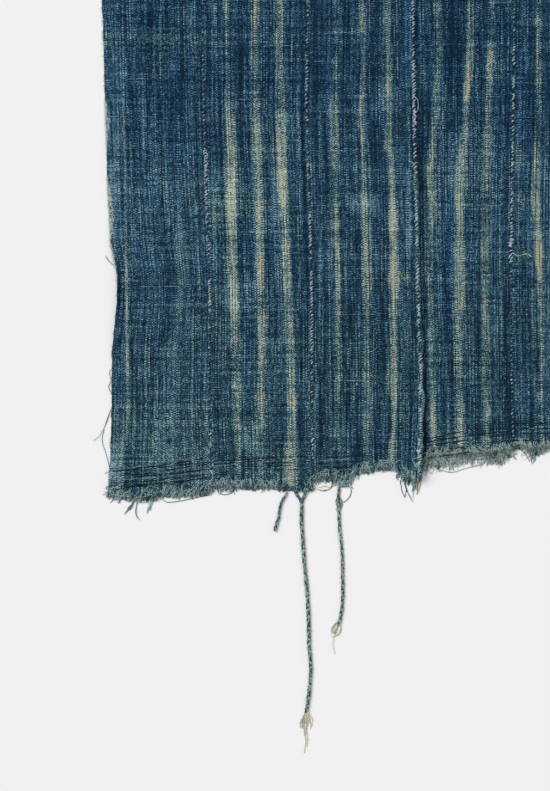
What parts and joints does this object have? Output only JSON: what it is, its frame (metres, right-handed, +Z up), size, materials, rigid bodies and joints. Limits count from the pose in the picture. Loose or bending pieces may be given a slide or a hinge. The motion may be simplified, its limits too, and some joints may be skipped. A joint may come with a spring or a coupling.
{
  "type": "cotton throw",
  "caption": "Hand-woven indigo cotton throw of narrow strips sewn edge to edge, with a torn, ragged hem and plaited loose ends, lying flat.",
  "frame": {"origin": "centre of the cloth's footprint, on the surface that it lies on", "axes": "+X across the strips, +Y along them from the ragged hem to the plain end, +Z up"},
  "size_m": [1.1196, 1.9132, 0.008],
  "materials": {
    "indigo_cotton": "matte",
    "faded_ends": "matte",
    "undyed_ends": "matte"
  },
  "bodies": {
    "root": {"strip_01": "indigo_cotton", "strip_02": "indigo_cotton", "strip_03": "indigo_cotton", "strip_04": "indigo_cotton", "strip_05": "indigo_cotton", "strip_06": "indigo_cotton", "strip_07": "indigo_cotton", "strip_08": "indigo_cotton", "strip_09": "indigo_cotton", "strip_10": "indigo_cotton", "fray_01": "faded_ends", "fray_02": "faded_ends", "fray_03": "faded_ends", "fray_04": "faded_ends", "fray_05": "faded_ends", "fray_06": "faded_ends", "fray_07": "faded_ends", "fray_08": "faded_ends", "fray_09": "faded_ends", "fray_10": "faded_ends", "plait_long": "faded_ends", "plait_short": "faded_ends", "twist_short": "faded_ends", "tuft_long": "undyed_ends", "tuft_short": "undyed_ends"}
  },
  "joints": []
}
